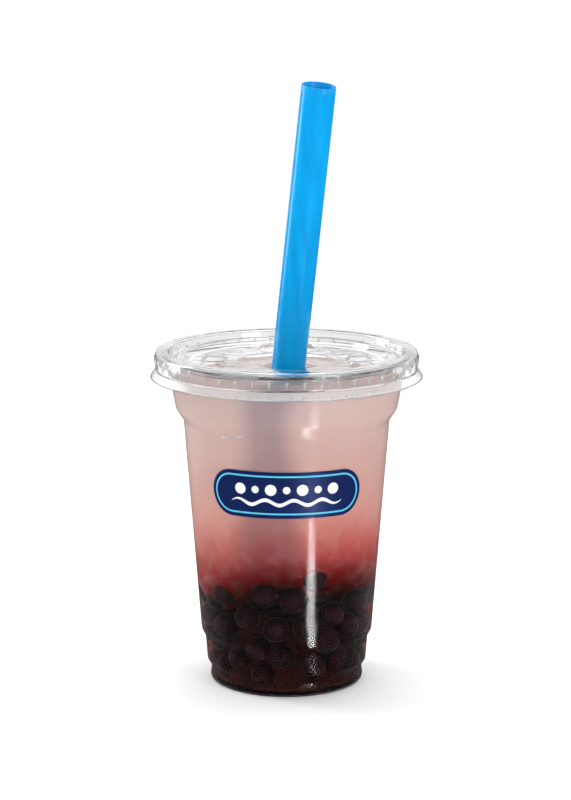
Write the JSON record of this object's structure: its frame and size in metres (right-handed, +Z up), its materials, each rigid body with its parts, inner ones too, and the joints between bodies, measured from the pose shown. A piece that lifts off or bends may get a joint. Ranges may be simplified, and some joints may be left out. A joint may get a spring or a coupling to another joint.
{
  "type": "bubble tea",
  "caption": "Clear takeaway cup with a flat press-on lid and a wide leaning straw, filled with a pink milky drink that darkens to red over a dark bed of tapioca pearls.",
  "frame": {"origin": "on the table, under the middle of the cup's foot", "axes": "+Z up along the cup's own axis; the straw leans towards +X and -Y, and -Y is the front"},
  "size_m": [0.096, 0.096, 0.215],
  "materials": {
    "clear_plastic": "clear gloss",
    "straw": "gloss",
    "drink": "liquid",
    "pearls": "wet gloss"
  },
  "bodies": {
    "root": {"cup": "clear_plastic", "lid": "clear_plastic", "straw": "straw", "drink": "drink", "straw_drink": "drink", "pearls": "pearls"}
  },
  "joints": []
}
